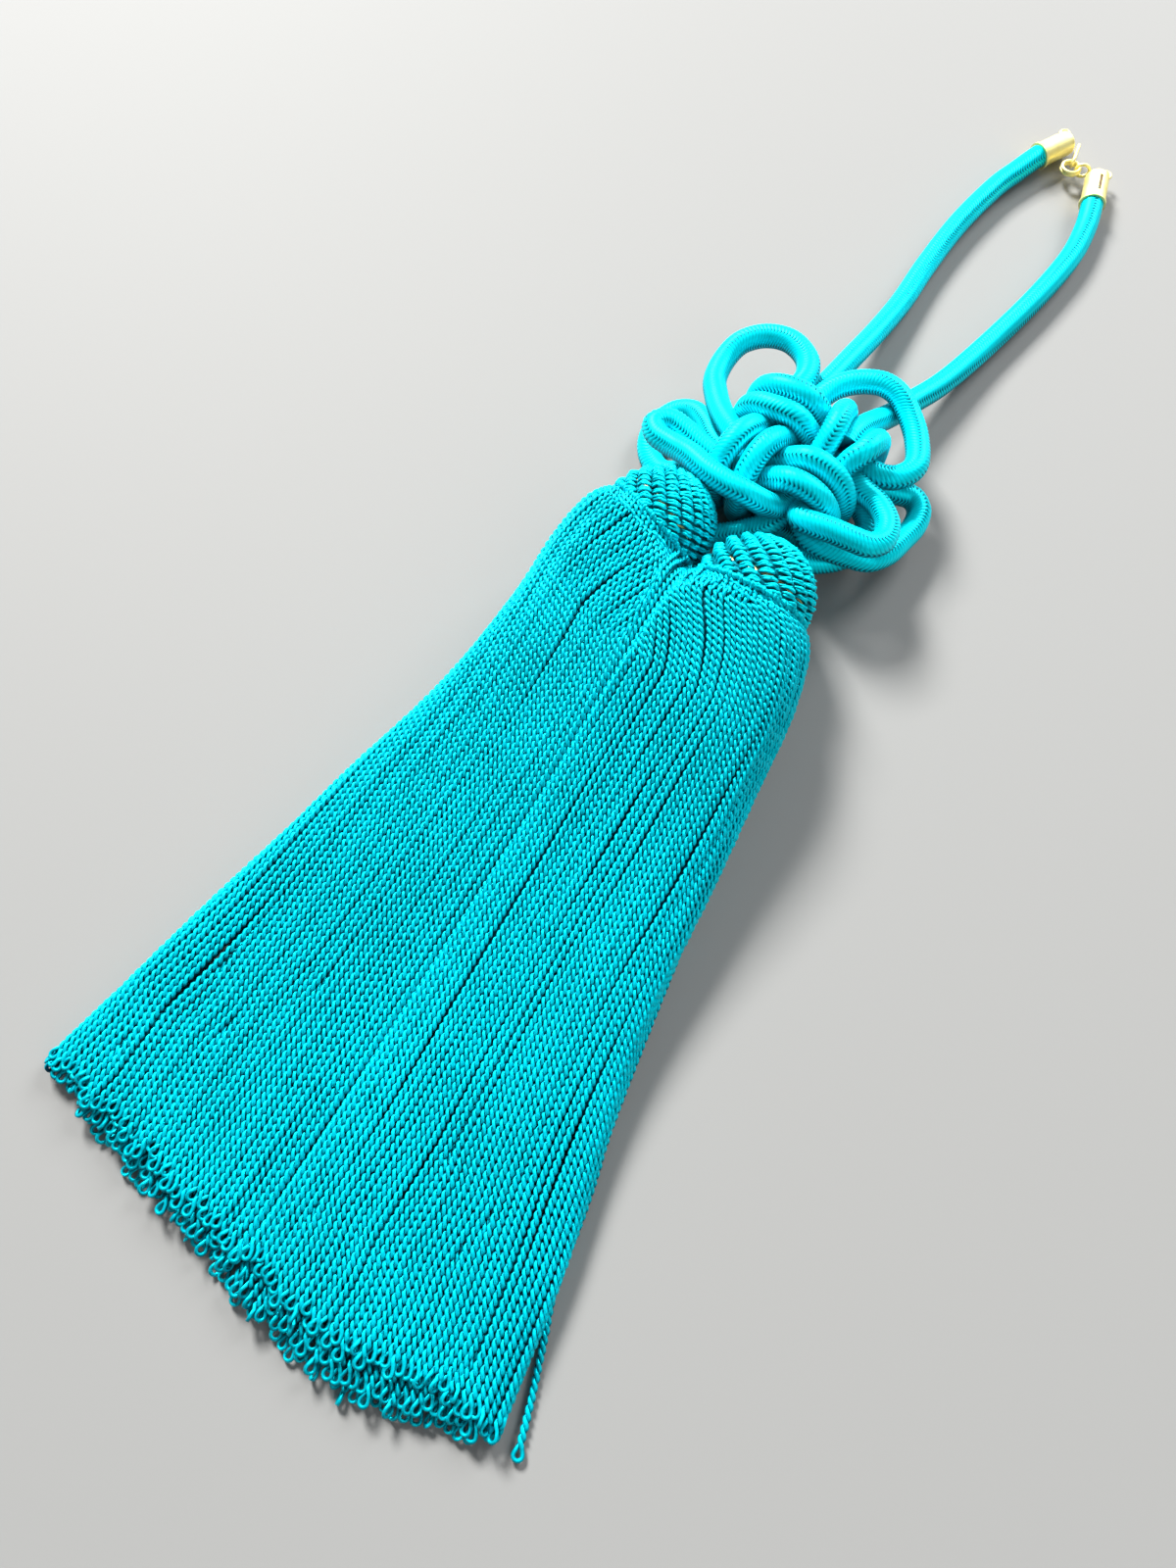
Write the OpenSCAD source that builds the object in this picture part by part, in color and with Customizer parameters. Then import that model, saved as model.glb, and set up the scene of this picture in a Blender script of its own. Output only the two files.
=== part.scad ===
// Knotted double tassel: two fringed tassels hang from a flat good-luck knot,
// whose cords run on as a loop closed by two metal end caps and small rings.
// It lies on its back, with the fringe ends towards -Y and the clasp towards +Y.

/* [Cord] */
// Diameter of the cord where it runs free
cord_d = 6; // [5:0.1:6]
// Diameter of the cord where the knot squeezes it
tight_d = 5.1; // [4.6:0.1:5.2]
// Height of the knot's middle plane above the table
knot_z = 13; // [12.7:0.1:13.5]

/* [Heads] */
// Radius of the left head at its rim
left_r = 13.75; // [13:0.05:14]
// Radius of the right head at its rim
right_r = 14.5; // [13.5:0.05:14.6]
// Height of a head from its rim to its crown
head_h = 14.2; // [13.5:0.1:14.6]
// Thickness of the netting over a head
net_t = 2; // [1:0.1:3]
// Height of the heads' middle line above the table
head_z = 15; // [14.6:0.1:16]
// How far the left head leans towards the right one, in degrees
left_lean = 20.7; // [15:0.1:24]
// How far the heads' rims lean back, so that the top of a net comes further down, in degrees
rim_pitch = 17; // [10:0.5:20]
// Diameter of the hole for the cord in a head
head_bore_d = 5.4; // [5.3:0.1:7]

/* [Fringe] */
// Thickness of the fringe where the strands end
hem_h = 5.5; // [4:0.1:7]
// Distance between the two fringes
fringe_gap = 0.4; // [0.3:0.1:0.8]

/* [Clasp] */
// Outer diameter of an end cap
cap_d = 7.2; // [7:0.1:8]
// Length of an end cap
cap_l = 11; // [9:0.5:12]
// Thickness of an end cap's floor
cap_floor = 1; // [0.6:0.1:2]
// Diameter of the cord's seat in an end cap
cap_bore_d = 6.3; // [6.3:0.05:6.5]
// Diameter of the wire of the rings
wire_d = 0.9; // [0.7:0.1:1]
// Radius of the jump ring, measured at the middle of its wire
ring_r = 2.35; // [2.2:0.05:2.6]

/* [Hidden] */

silk = [0.03, 0.56, 0.60];
silk_deep = [0.02, 0.46, 0.50];
gold = [0.93, 0.80, 0.42];

// Middle of the footprint, measured from the lower end of the tassel's middle line
footprint_mid = [2.4, 117.23, 0];
// Small clearance between pieces that touch
fit = 0.2;

// Length of the straight part of a head, from which its slanting rim is cut, and the rim's drop
barrel = 7;
rim_drop = 0.8;

// Middle of each head's widest ring and of the knot
left_rim = [-11.9, 178.6, head_z];
right_rim = [16.6, 173.8, head_z];
knot_mid = [7.6, 212.8, knot_z];

// Route of the left cord, from the middle of the knot: from the left leg through the knot's
// lower arm, the upper left ear, the right arm, the far left ear and the upper arm to the left head
left_route = [
    [-6.8, 24, -3.2], [-8, 18, -3], [-9.4, 12, -2.9], [-10.6, 6.5, -2.9], [-11.3, 2.5, -3.8],
    [-12.2, -1.8, -8], [-13.2, -6, -10], [-14, -10.4, -9.8], [-14.6, -14.6, -7.2], [-14.8, -16.6, -2.6],
    [-14.8, -16.6, 2.6], [-14.6, -14.6, 7.2], [-14, -10.4, 9.8], [-13.2, -6, 10], [-12.2, -1.8, 8],
    [-11.3, 2.5, 3.8], [-10.8, 6.5, 2.9], [-10.6, 12, 2.9], [-10, 17, 2.9], [-10, 23, 2.4],
    [-12.8, 28, 2], [-18.8, 31, 1.4], [-25, 30, 0.6], [-29.6, 25.4, 0], [-31, 19.4, -1],
    [-30, 12.6, -1], [-27.2, 8, -0.4], [-23.4, 3.4, 0.8], [-18.8, -0.6, 2.2], [-14.4, -3.4, 2.9],
    [-9.5, -4.6, 2.9], [-4.6, -4.8, 3.2], [-0.4, -4.8, 7.2], [3.6, -4.7, 10], [8, -4.5, 9.8],
    [12.4, -4.7, 7.2], [14.8, -5.1, 2.6], [14.8, -5.1, -2.6], [12.4, -4.7, -7.2], [8, -4.5, -9.8],
    [3.6, -4.7, -10], [-0.4, -4.8, -7.2], [-4.6, -4.8, -3.2], [-9.5, -4.6, -2.9], [-15.5, -4.2, -3],
    [-21.6, -1.6, -4.4], [-27, 3.4, -6.4], [-32, 6.2, -8.4], [-36.4, 4.6, -9.8], [-38.4, -1.4, -10],
    [-37.4, -6.8, -10], [-34.4, -10.8, -10], [-30, -13.4, -9], [-25.4, -13.2, -6.6], [-20.6, -11.8, -3.8],
    [-15.5, -10.8, -2.9], [-10, -10.8, -2.9], [-5.2, -11, -3.2], [-0.6, -11.6, -7.4], [3.4, -12, -10],
    [8, -12, -9.8], [11.8, -11.8, -7.2], [13.9, -11.5, -2.6], [13.9, -11.5, 2.6], [11.8, -11.8, 7.2],
    [8, -12, 9.8], [3.4, -12, 10], [-0.6, -11.6, 7.4], [-5.2, -11, 3.2], [-10, -10.8, 2.9],
    [-15.5, -11, 2.9], [-21, -10.1, 3.2], [-26.4, -8.6, 3.5], [-31.4, -8, 3.8], [-34, -11, 4.2],
    [-31.6, -14, 4.8], [-26, -15.4, 6], [-21, -17, 8], [-15, -19.6, 9.6], [-9.4, -20.8, 10.2],
    [-4.4, -20.6, 9.8], [-0.2, -19, 7.2], [2.2, -16, 3.8], [3.2, -11.8, 2.9], [3.6, -7, 2.9],
    [4.2, -2.4, 3.9], [4.8, 1.8, 8], [4.9, 5.5, 10], [4.5, 9.6, 10], [4.1, 14.1, 7.4],
    [4, 16.2, 2.6], [4, 16.2, -2.6], [4.1, 14.1, -7.4], [4.5, 9.6, -10], [4.9, 5.5, -10],
    [4.8, 1.8, -8], [4.2, -2.4, -3.9], [3.6, -7, -2.9], [3, -12, -2.9], [1.4, -17, -2.9],
    [-2, -20.9, -3.6], [-5.6, -24, -4], [-9.2, -27.1, -4]];

// Route of the right cord: from its hidden end under the left arm through the lower arm, the upper
// right ear, the left arm, the far right ear, the upper arm and the lower right ear to the right head
right_route = [
    [-3.9, 13.4, -2.9], [-4.2, 6.5, -2.9], [-4.7, 2.5, -3.8], [-5.6, -1.8, -8], [-6.6, -6, -10],
    [-7.2, -10.4, -9.8], [-7.4, -14.6, -7.2], [-7.4, -16.6, -2.6], [-7.4, -16.6, 2.6], [-7.4, -14.6, 7.2],
    [-7.2, -10.4, 9.8], [-6.6, -6, 10], [-5.6, -1.8, 8], [-4.7, 2.5, 3.8], [-4.2, 6.5, 2.9],
    [-4.2, 12, 2.9], [-3.9, 17, 2.9], [-2.8, 21, 3.1], [-0.4, 24.6, 3.4], [3.4, 27.6, 3.7],
    [8, 29.2, 3.9], [12.6, 28.7, 3.2], [17.2, 25.8, 1.8], [21.6, 21, 1.2], [24.9, 13.8, 1.6],
    [23, 8.2, 2], [18.6, 5.8, 2.2], [13.4, 6.8, 2], [8.8, 8.8, 1.8], [4.2, 10.4, 2.2],
    [0, 11, 5.8], [-4.4, 11, 9.9], [-10.4, 10.9, 9.8], [-15.2, 10.8, 7.2], [-17.2, 10.8, 2.6],
    [-17.2, 10.8, -2.6], [-15.2, 10.8, -7.2], [-10.4, 10.9, -9.8], [-4.4, 11, -9.9], [0, 11, -6.4],
    [3.6, 10.4, -3.8], [8.8, 8.6, -3.2], [13.4, 6.9, -3.1], [18.4, 6.8, -3.6], [23, 8.6, -4.6],
    [27.4, 10.4, -5.8], [30.6, 8.2, -6.2], [31.6, 3.4, -6.1], [30.8, -2.4, -5.2], [29.6, -8.4, -4],
    [26.8, -13, -2.9], [22, -15.2, -2], [16, -16.6, -1.4], [11.4, -15.6, -1.8], [8.8, -11.8, -2.9],
    [8.8, -7, -2.9], [9.6, -2.8, -3.6], [11.4, 0.6, -8], [13.4, 4, -10], [14.6, 8, -9.4],
    [14.8, 11, -6.8], [14.8, 12.4, -2.4], [14.8, 12.4, 2.4], [14.8, 11, 6.6], [14.6, 7.6, 9.2],
    [13.8, 4, 9.9], [12, 1.2, 8.2], [9.8, -2.6, 3.8], [8.8, -7, 2.9], [8.6, -11.4, 2.9],
    [7.8, -14.8, 4.1], [9.6, -17.4, 6], [13.2, -17.6, 6.8], [17.6, -17, 6.8], [22.2, -16.2, 6.2],
    [26, -14.8, 5.2], [28, -11, 4], [26.6, -5.8, 3], [22.2, -1.8, 2.4], [17.6, -0.2, 2.2],
    [13.2, 1.6, 1.8], [8.8, 3.4, 1.8], [4.2, 4.4, 2.2], [0, 4.6, 5.8], [-4.4, 4.3, 9.9],
    [-10.4, 4.1, 9.8], [-15.4, 4.6, 7.2], [-17.6, 5, 2.6], [-17.6, 5, -2.6], [-15.4, 4.6, -7.2],
    [-10.4, 4.1, -9.8], [-4.4, 4.3, -9.9], [0, 4.6, -6.4], [3.6, 4.4, -3.6], [8.8, 3.4, -3],
    [13.2, 2.2, -3], [18, 0.4, -4.2], [21.8, -2.6, -5.4], [22.8, -7.8, -6.6], [20.4, -13.2, -7.2],
    [15.6, -17.8, -6.8], [11.6, -20.6, -5.4], [9, -24.2, -4], [9, -28, -4]];

// Routes of the two legs, from the middle of the knot to just before the end caps
left_leg = [
    [-6.8, 24, -3.2], [-5.8, 30, -3.8], [-4.8, 40, -5.2], [-3.6, 54, -7.6], [-2.9, 68, -9.4],
    [-3, 84, -10], [-2, 102, -10], [0.8, 119, -10], [3.6, 128, -9.8]];
right_leg = [
    [9, 5.6, 7.1], [9, 9.6, 6.8], [9.6, 14.4, 4.8], [10.8, 20.4, 1.2], [12.6, 27.6, -2.6],
    [15, 36.4, -5.2], [18.6, 48, -7.6], [22.6, 66, -9.6], [27, 88, -10], [29.3, 106, -10],
    [28.8, 118, -9.8]];

// Middle of each cap's closed end, and the way it points, in degrees left of +Y
left_end = [19.2, 358.8, cap_d / 2];
left_turn = -27.4;
right_end = [31.6, 350.7, cap_d / 2];
right_turn = 15.2;

// Eyes soldered to the caps' ends, and the small links between them
eye_r = 1.3;
eye_out = 1.2;
left_eye_aside = -3;
right_eye_aside = 2.2;
left_eye = left_end + eye_out * ahead(left_turn) + left_eye_aside * aside(left_turn);
right_eye = right_end + eye_out * ahead(right_turn) + right_eye_aside * aside(right_turn);
ring_mid = [23.9, 349.7, cap_d / 2];
play = 0.05;
hook_l = norm(ring_mid - left_eye) - ring_r + wire_d + play;
hook_r = 1.2;
side_r = (norm(right_eye - ring_mid) - ring_r - eye_r) / 2 + wire_d + play;
side_mid = ring_mid + (norm(right_eye - ring_mid) + ring_r - eye_r) / 2 * unit(right_eye - ring_mid);

// Inner edges of the two fringes, on both sides of the line where they meet
meet_x = 1.4;
left_in = meet_x - fringe_gap / 2;
right_in = meet_x + fringe_gap / 2;

// Rows of the left fringe from the rim down: [outer x, outer y, inner x, inner y, height,
// roundness of its outer side, roundness of its inner side, how far it leans back, how far it bows down]
left_rows = [
    [-24.5, 182.0, left_in - 0.9, 172.6, 28.2, 1.00, 1.00, 4.6, 0],
    [-27.7, 179.2, left_in - 0.9, 169.6, 28.7, 0.92, 0.86, 4.2, 0],
    [-29.8, 173.0, left_in - 0.8, 163.4, 28.3, 0.82, 0.52, 3.0, 0],
    [-30.8, 161.3, left_in - 0.45, 151.5, 26.8, 0.72, 0.26, 1.6, 0],
    [-31.0, 143.4, left_in - 0.2, 134.0, 22.8, 0.62, 0.18, 0.6, 0],
    [-34.0, 118.0, left_in, 111.0, 17.4, 0.55, 0.16, 0, 0],
    [-40.6, 90.8, left_in, 84.0, 12.6, 0.48, 0.16, 0, 0],
    [-47.0, 60.8, left_in, 54.0, 9.0, 0.44, 0.18, 0, 0],
    [-52.4, 32.6, left_in, 24.0, 7.0, 0.40, 0.20, 0, 0.5],
    [-57.2, 7.2, left_in, -7.4, hem_h, 0.40, 0.25, 0, 1]
];
right_rows = [
    [30.6, 172.5, right_in + 0.9, 172.5, 28.6, 1.00, 1.00, 4.8, 0],
    [33.8, 169.4, right_in + 0.1, 169.2, 29.0, 0.92, 0.86, 4.4, 0],
    [36.8, 162.6, right_in, 163.2, 28.6, 0.82, 0.52, 3.2, 0],
    [39.4, 150.6, right_in, 151.4, 27.0, 0.72, 0.26, 1.6, 0],
    [41.2, 131.0, right_in, 134.0, 22.8, 0.62, 0.18, 0.6, 0],
    [43.8, 108.0, right_in, 111.0, 17.4, 0.55, 0.16, 0, 0],
    [46.2, 82.0, right_in, 84.0, 12.6, 0.48, 0.16, 0, 0],
    [51.0, 54.6, right_in, 54.0, 9.0, 0.44, 0.18, 0, 0.5],
    [57.4, 27.4, right_in, 24.0, 7.0, 0.40, 0.20, 0, 3.5],
    [62.0, -0.8, right_in, -7.8, hem_h, 0.40, 0.25, 0, 7.5]
];

// Ways in the plane of the table: ahead at a turn left of +Y, and aside, a quarter turn further left
function ahead(turn) = [-sin(turn), cos(turn), 0];
function aside(turn) = [-cos(turn), -sin(turn), 0];

// Points drawn for each point of a route, and facets of the round pieces and of the wire
route_steps = 2;
round_facets = 64;
ring_facets = 48;
wire_facets = 20;

// Point of a smooth curve through p, where t counts the points passed
function curve_at(p, t) =
    let (last = len(p) - 1, i = min(floor(t), last - 1), f = t - i,
         b = p[i], c = p[i + 1],
         a = i > 0 ? p[i - 1] : 2 * b - c,
         d = i + 2 <= last ? p[i + 2] : 2 * c - b)
    0.5 * (2 * b + (c - a) * f + (2 * a - 5 * b + 4 * c - d) * f * f
           + (3 * b - a - 3 * c + d) * f * f * f);
function smooth(p) = [for (k = [0 : (len(p) - 1) * route_steps]) curve_at(p, k / route_steps)];
function unit(v) = v / norm(v);
function travel(p, i) = unit(p[min(i + 1, len(p) - 1)] - p[max(i - 1, 0)]);
function square_to(v, t) = unit(v - (v * t) * t);
function moved(p, by) = [for (q = p) q + by];
function backwards(p) = [for (k = [len(p) - 1 : -1 : 0]) p[k]];

// A direction square to the curve at each of its points, turning as little as it can
function sides(p) =
    [for (i = 0, u = square_to([0, 0, 1], travel(p, 0)); i < len(p);
          i = i + 1, u = square_to(u, travel(p, min(i, len(p) - 1)))) u];

// Tube along the points p, with n sides and flat ends
module tube(p, d, n = 8) {
    u = sides(p);
    points = [for (i = [0 : len(p) - 1])
                  let (w = cross(travel(p, i), u[i]))
                  for (j = [0 : n - 1])
                      let (a = (j + 0.5) * 360 / n) p[i] + d / 2 * (cos(a) * u[i] + sin(a) * w)];
    last = (len(p) - 1) * n;
    walls = [for (i = [0 : len(p) - 2], j = [0 : n - 1])
                 let (k = (j + 1) % n) [i * n + j, (i + 1) * n + j, (i + 1) * n + k, i * n + k]];
    start = [for (j = [0 : n - 1]) j];
    end = [for (j = [n - 1 : -1 : 0]) last + j];
    polyhedron(points, concat(walls, [start], [end]), convexity = 20);
}

// Point of a fringe section at angle a, where a row's numbers shape it: flat below, arched above
// and leaning back along back_way
section_points = 28;
// Shares of a section's height where it is widest, and how full its underside is
widest_flat = 0.24;
widest_round = 0.275;
under_flat = 2.1;
under_round = 1.12;
function power(x, e) = sign(x) * pow(abs(x), e);
function back_way(row) =
    let (v = [row[3] - row[1], row[0] - row[2]]) (v[1] < 0 ? 1 : -1) * v / norm(v);
function fringe_point(row, a) =
    let (round = cos(a) > 0 ? row[6] : row[5],
         side = power(cos(a), round), lift = power(sin(a), round), s = (1 + side) / 2,
         mid_z = row[4] * (widest_flat + widest_round * round),
         below = max(0, mid_z * (1 + (under_flat - under_round * round) * lift)),
         z = lift > 0 ? mid_z + (row[4] - mid_z) * lift : below,
         back = row[7] * (z / head_z - 1) * back_way(row))
    [row[0] + (row[2] - row[0]) * s + back[0],
     row[1] + (row[3] - row[1]) * s + back[1] - row[8] * 4 * s * (1 - s),
     z];

// Fringe through its rows; the way of its faces is turned where its outer edge is on the right
module fringe(rows, turned) {
    n = section_points;
    sections = smooth(rows);
    m = len(sections);
    low = sections[m - 1];
    points = [for (row = sections, j = [0 : n - 1]) fringe_point(row, (j + 0.5) * 360 / n)];
    top_mid = [(rows[0][0] + rows[0][2]) / 2, (rows[0][1] + rows[0][3]) / 2, head_z];
    low_mid = [(low[0] + low[2]) / 2, (low[1] + low[3]) / 2 - low[8], hem_h / 2];
    walls = [for (i = [0 : m - 2], j = [0 : n - 1])
                 let (k = (j + 1) % n) [i * n + j, (i + 1) * n + j, (i + 1) * n + k, i * n + k]];
    top_end = [for (j = [0 : n - 1]) [m * n, j, (j + 1) % n]];
    low_end = [for (j = [0 : n - 1]) [m * n + 1, (m - 1) * n + (j + 1) % n, (m - 1) * n + j]];
    faces = concat(walls, top_end, low_end);
    polyhedron(concat(points, [top_mid, low_mid]),
               turned ? [for (f = faces) backwards(f)] : faces, convexity = 6);
}

// Half section of a dome of radius r and height h, from its rim to its crown
dome_steps = 10;
function dome_arc(r, h) =
    [for (k = [0 : dome_steps])
        let (a = 90 * k / dome_steps) k == dome_steps ? [0, h] : [r * cos(a), h * sin(a)]];

// Places a head piece with its widest ring at rim, leaning by lean, cuts it off along the slanting
// rim, and cuts the hole of the cord that ends at end and comes from the way of turn
module on_head(rim, lean, end, turn) {
    room = 4 * head_h;
    difference() {
        translate(rim) rotate([-90, 0, -lean]) intersection() {
            children();
            translate([0, 0, -rim_drop]) rotate([rim_pitch, 0, 0])
                translate([-room / 2, -room / 2, 0]) cube(room);
        }
        translate(knot_mid + end) rotate([-90, 0, turn]) translate([0, 0, -fit])
            cylinder(d = head_bore_d, h = head_h, $fn = ring_facets);
    }
}
module core(r) {
    inside = r - net_t - fit;
    rotate_extrude($fn = round_facets)
        polygon(concat([[0, -barrel], [inside, -barrel]], dome_arc(inside, head_h - net_t - fit)));
}
module net(r) {
    inside = r - net_t;
    rotate_extrude($fn = round_facets)
        polygon(concat([[r, -barrel]], dome_arc(r, head_h),
                       backwards(dome_arc(inside, head_h - net_t)), [[inside, -barrel]]));
}

// Ring of round wire lying flat, of middle radius r
module wire_ring(r) {
    rotate_extrude($fn = ring_facets) translate([r, 0]) circle(d = wire_d, $fn = wire_facets);
}

// Long link of round wire standing on edge, of length l from end to end along +Y
module long_link(l, r) {
    for (side = [0, 1])
        translate([0, side * l, 0]) rotate([90, 0, 90 + side * 180]) translate([r, 0, 0])
            rotate([0, 0, 90]) rotate_extrude(angle = 180, $fn = ring_facets)
                translate([r, 0]) circle(d = wire_d, $fn = wire_facets);
    for (z = [-r, r])
        translate([0, r, z]) rotate([-90, 0, 0])
            cylinder(d = wire_d, h = l - 2 * r, $fn = wire_facets);
}

// End cap with its closed end at end, and the eye soldered to it
module end_cap(end, turn, eye) {
    translate(end) rotate([90, 0, turn]) difference() {
        cylinder(d = cap_d, h = cap_l, $fn = round_facets);
        translate([0, 0, cap_floor]) cylinder(d = cap_bore_d, h = cap_l, $fn = round_facets);
    }
    translate(eye) wire_ring(eye_r);
}

// The cord's way into a cap: through its mouth, down to its floor
function into_cap(end, turn) =
    [for (deep = [cap_l, cap_l / 2, cap_floor]) end - deep * ahead(turn)];

left_cord_end = left_route[len(left_route) - 1];
right_cord_end = right_route[len(right_route) - 1];
left_hole_turn = -49.3;
right_hole_turn = 0;

module skirt_left() { color(silk) fringe(left_rows, false); }
module skirt_right() { color(silk) fringe(right_rows, true); }
module on_left_head() { on_head(left_rim, left_lean, left_cord_end, left_hole_turn) children(); }
module on_right_head() { on_head(right_rim, 0, right_cord_end, right_hole_turn) children(); }
module core_left() { color(gold) on_left_head() core(left_r); }
module core_right() { color(gold) on_right_head() core(right_r); }
module net_left() { color(silk_deep) on_left_head() net(left_r); }
module net_right() { color(silk_deep) on_right_head() net(right_r); }
module knot_cord_left() { color(silk) tube(smooth(moved(left_route, knot_mid)), tight_d); }
module knot_cord_right() { color(silk) tube(smooth(moved(right_route, knot_mid)), tight_d); }
module leg_left() {
    color(silk) tube(smooth(concat(moved(left_leg, knot_mid), into_cap(left_end, left_turn))), cord_d);
}
module leg_right() {
    color(silk) tube(smooth(concat(moved(right_leg, knot_mid), into_cap(right_end, right_turn))), cord_d);
}
module cap_left() { color(gold) end_cap(left_end, left_turn, left_eye); }
module cap_right() { color(gold) end_cap(right_end, right_turn, right_eye); }
module hook_link() {
    way = ring_mid - left_eye;
    color(gold) translate(left_eye) rotate([0, 0, atan2(-way[0], way[1])]) long_link(hook_l, hook_r);
}
module jump_ring() { color(gold) translate(ring_mid) wire_ring(ring_r); }
module side_link() {
    way = right_eye - ring_mid;
    color(gold) translate(side_mid) rotate([90, 0, atan2(way[1], way[0])]) wire_ring(side_r);
}

translate(-footprint_mid) {
    skirt_left();
    skirt_right();
    core_left();
    core_right();
    net_left();
    net_right();
    knot_cord_left();
    knot_cord_right();
    leg_left();
    leg_right();
    cap_left();
    cap_right();
    hook_link();
    jump_ring();
    side_link();
}
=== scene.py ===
import math
import bmesh
import bpy
import mathutils
import numpy as np
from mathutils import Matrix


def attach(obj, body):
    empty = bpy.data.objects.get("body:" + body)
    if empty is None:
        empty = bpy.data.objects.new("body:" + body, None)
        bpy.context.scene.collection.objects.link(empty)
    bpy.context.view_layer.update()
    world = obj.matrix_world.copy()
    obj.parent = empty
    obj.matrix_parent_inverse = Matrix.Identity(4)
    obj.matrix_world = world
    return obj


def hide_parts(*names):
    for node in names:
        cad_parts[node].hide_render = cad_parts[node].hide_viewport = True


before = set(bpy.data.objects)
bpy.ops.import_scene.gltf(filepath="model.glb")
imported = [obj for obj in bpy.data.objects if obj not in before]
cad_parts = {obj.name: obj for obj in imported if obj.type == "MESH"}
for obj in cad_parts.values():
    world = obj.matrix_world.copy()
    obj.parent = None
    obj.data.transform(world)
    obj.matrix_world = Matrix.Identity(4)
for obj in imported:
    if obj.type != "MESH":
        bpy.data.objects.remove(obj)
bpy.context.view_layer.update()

bpy.ops.object.select_all(action="DESELECT")


# Camera, floor and light
# The tassel lies on a pale table, seen from above with the fringe nearest. Large soft lamps stand at the
# upper left and behind, with a weaker one at the right, under a dim sky.
camera = bpy.data.cameras.new("camera")
camera.sensor_fit = "VERTICAL"
camera.sensor_height = 24
camera.lens = 18
camera.clip_start = 0.01
viewer = bpy.data.objects.new("camera", camera)
viewer.location = (0.0550, -0.08083, 0.252)
viewer.rotation_euler = (math.radians(21.16), 0, math.radians(31.9))
bpy.context.scene.collection.objects.link(viewer)
bpy.context.scene.camera = viewer
bpy.context.scene.view_settings.view_transform = "Standard"

bpy.ops.mesh.primitive_plane_add(size=6, location=(0, 0, -0.0001))
table = bpy.context.object
table.name = "table"
table_paint = bpy.data.materials.new("table_paint")
table_paint.use_nodes = True
shader = table_paint.node_tree.nodes["Principled BSDF"]
shader.inputs["Base Color"].default_value = (0.27, 0.27, 0.265, 1)
shader.inputs["Roughness"].default_value = 0.75
table.data.materials.append(table_paint)

# Each lamp's place and the size of its square, in metres, its power and its tint
lamp_target = np.array([0.0, 0.05, 0.0])
for name, place, size, watts, tint in (
        ("lamp_upper_left", (-1.9, 1.4, 1.8), 0.8, 226, (1.0, 0.99, 0.97)),
        ("lamp_behind", (0.5, 2.4, 1.5), 1.2, 64, (0.97, 0.99, 1.0)),
        ("lamp_right", (1.9, -0.7, 1.4), 1.6, 13, (1.0, 1.0, 1.0))):
    lamp = bpy.data.lights.new(name, "AREA")
    lamp.size = size
    lamp.energy = watts
    lamp.color = tint
    stand = bpy.data.objects.new(name, lamp)
    stand.location = place
    aim = lamp_target - place
    stand.rotation_euler = (math.atan2(math.hypot(aim[0], aim[1]), -aim[2]), 0,
                            math.atan2(-aim[0], aim[1]))
    bpy.context.scene.collection.objects.link(stand)

sky = bpy.data.worlds.new("studio")
sky.use_nodes = True
sky.node_tree.nodes["Background"].inputs["Color"].default_value = (0.90, 0.95, 1.0, 1)
sky.node_tree.nodes["Background"].inputs["Strength"].default_value = 0.21
bpy.context.scene.world = sky


# The loop's two legs
# Each is a round braided silk cord, 6 mm thick, whose fine ribs slope to and fro between four seams. It
# comes out of the knot, lies on the table and ends in a metal cap. The left one is one with the knot's left
# cord. Its route, like every route and row of points below, is in millimetres from the tassel's lower end.
footprint_mid = [2.4, 117.23, 0]


def placed(points):
    """Points in millimetres from the tassel's lower end, as metres from the middle of its footprint"""
    return (np.array(points, float) - footprint_mid) / 1000


def smooth(points, steps=24):
    """A smooth curve through points, with steps on each stretch"""
    p = np.array(points, float)
    p = np.vstack([2 * p[0] - p[1], p, 2 * p[-1] - p[-2]])
    f = np.linspace(0, 1, steps, endpoint=False)[None, :, None]
    a, b, c, d = p[:-3, None], p[1:-2, None], p[2:-1, None], p[3:, None]
    curve = 0.5 * (2 * b + (c - a) * f + (2 * a - 5 * b + 4 * c - d) * f ** 2
                   + (3 * b - a - 3 * c + d) * f ** 3)
    return np.vstack([curve.reshape(-1, p.shape[1]), points[-1]])


def even(curve, count):
    """count points, evenly far apart along a curve"""
    run = np.concatenate([[0], np.cumsum(np.linalg.norm(np.diff(curve[:, :3], axis=0), axis=1))])
    at = np.linspace(0, run[-1], count)
    return np.column_stack([np.interp(at, run, column) for column in curve.T])


def length_of(curve):
    """How long a curve is"""
    return float(np.linalg.norm(np.diff(curve, axis=0), axis=1).sum())


def unit(v):
    """Vectors made 1 long"""
    return v / np.linalg.norm(v, axis=-1, keepdims=True)


def ways(lines):
    """For lines of points, the way along each and two ways square to it that turn as little as they can"""
    ahead = unit(np.gradient(lines, axis=-2))
    up = np.empty_like(ahead)
    last = np.broadcast_to(np.array([0.0, 0.0, 1.0]), ahead[..., 0, :].shape)
    for k in range(lines.shape[-2]):
        last = unit(last - (last * ahead[..., k, :]).sum(-1, keepdims=True) * ahead[..., k, :])
        up[..., k, :] = last
    return ahead, up, np.cross(ahead, up)


def ring_faces(rings, sides):
    """Faces between the rings of a tube"""
    i = np.arange(rings - 1)[:, None] * sides
    j = np.arange(sides)[None, :]
    k = (j + 1) % sides
    return np.stack([i + j, i + k, i + sides + k, i + sides + j], axis=-1).reshape(-1, 4)


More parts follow.
